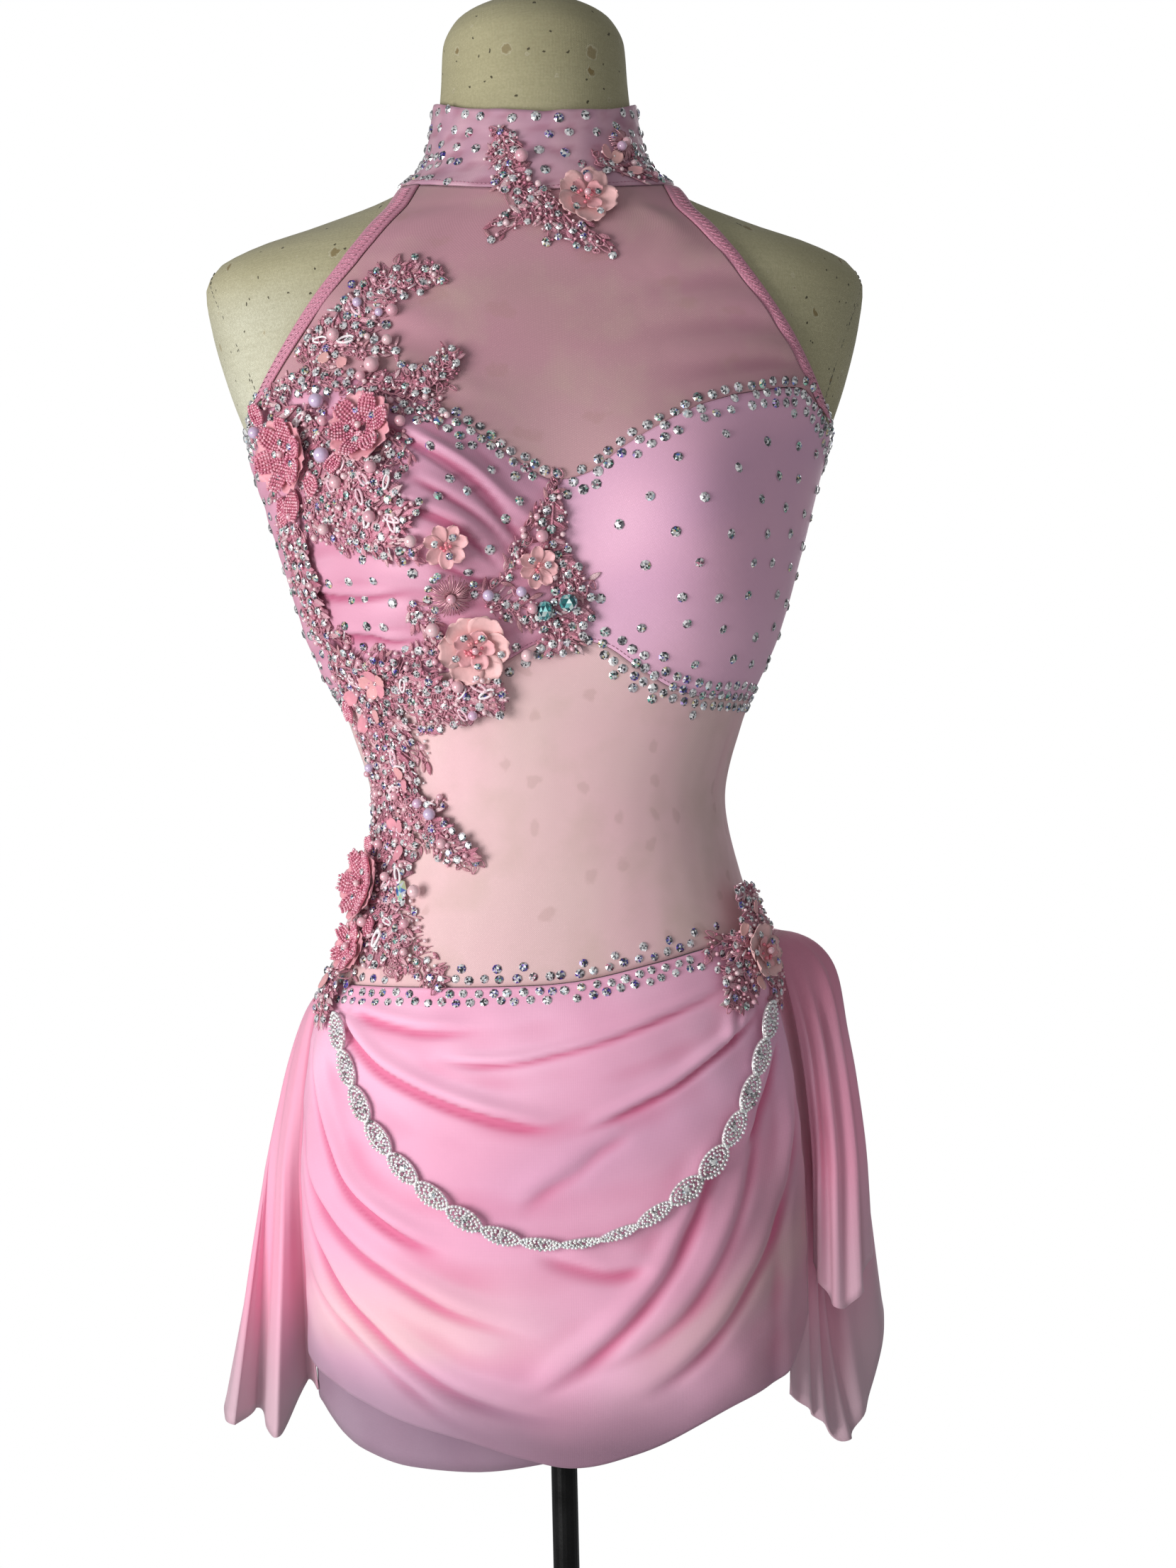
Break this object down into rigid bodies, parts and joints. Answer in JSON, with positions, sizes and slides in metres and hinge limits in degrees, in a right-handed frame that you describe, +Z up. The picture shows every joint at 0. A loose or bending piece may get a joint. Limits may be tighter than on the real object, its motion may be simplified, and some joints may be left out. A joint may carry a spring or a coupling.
{
  "type": "latin dance dress on a dress form",
  "caption": "Pink halter latin dance dress with mesh yoke and midriff, swagged hip skirt, jewelled chain and beaded lace, on a limbless linen dress form with a pole stand.",
  "frame": {"origin": "on the floor at the pole's axis, the centre of the stand's flat underside", "axes": "+Z up, -Y the wearer's front, +X the wearer's left"},
  "size_m": [0.3857, 0.3766, 1.398],
  "materials": {
    "linen": "aged unbleached linen, matt, with faint stains",
    "black_paint": "satin black paint",
    "lycra": "pink stretch lycra, soft sheen",
    "cup_lycra": "lilac-pink stretch lycra, soft sheen",
    "stretch_mesh": "fine pink-beige stretch mesh, matt",
    "drape_cloth": "pink stretch crepe, matt",
    "underskirt_cloth": "mauve stretch cloth, matt",
    "lace": "rose-pink corded lace, beaded",
    "beaded_petal": "deep pink petals covered with seed beads",
    "peach_petal": "peach satin petals",
    "silver_chain": "bright silver plate with clear stones",
    "crystal": "pale aqua faceted glass"
  },
  "bodies": {
    "root": {"armhole_edge_left": "lycra", "armhole_edge_right": "lycra", "back_band": "cup_lycra", "back_skirt": "drape_cloth", "cascade": "drape_cloth", "collar": "lycra", "crystal_drop": "crystal", "crystal_round": "crystal", "crystal_swag": "silver_chain", "draped_cup": "cup_lycra", "flounce_left": "drape_cloth", "flounce_right": "drape_cloth", "flower_beaded_a": "beaded_petal", "flower_beaded_b": "beaded_petal", "flower_centre": "peach_petal", "flower_collar": "peach_petal", "flower_hip": "peach_petal", "flower_small_a": "peach_petal", "flower_small_b": "peach_petal", "flower_waist_a": "beaded_petal", "flower_waist_b": "beaded_petal", "form_torso": "linen", "front_drape": "drape_cloth", "lace_armhole": "lace", "lace_bust_body": "lace", "lace_bust_branch": "lace", "lace_bust_centre": "lace", "lace_bust_side": "lace", "lace_collar": "lace", "lace_hip_left": "lace", "lace_hip_right": "lace", "lace_underbust": "lace", "lace_waist_branch": "lace", "lace_waist_side": "lace", "midriff_back": "stretch_mesh", "midriff_front": "stretch_mesh", "plain_cup": "cup_lycra", "stand_base": "black_paint", "stand_pole": "black_paint", "underskirt": "underskirt_cloth", "yoke_front": "stretch_mesh"}
  },
  "joints": []
}
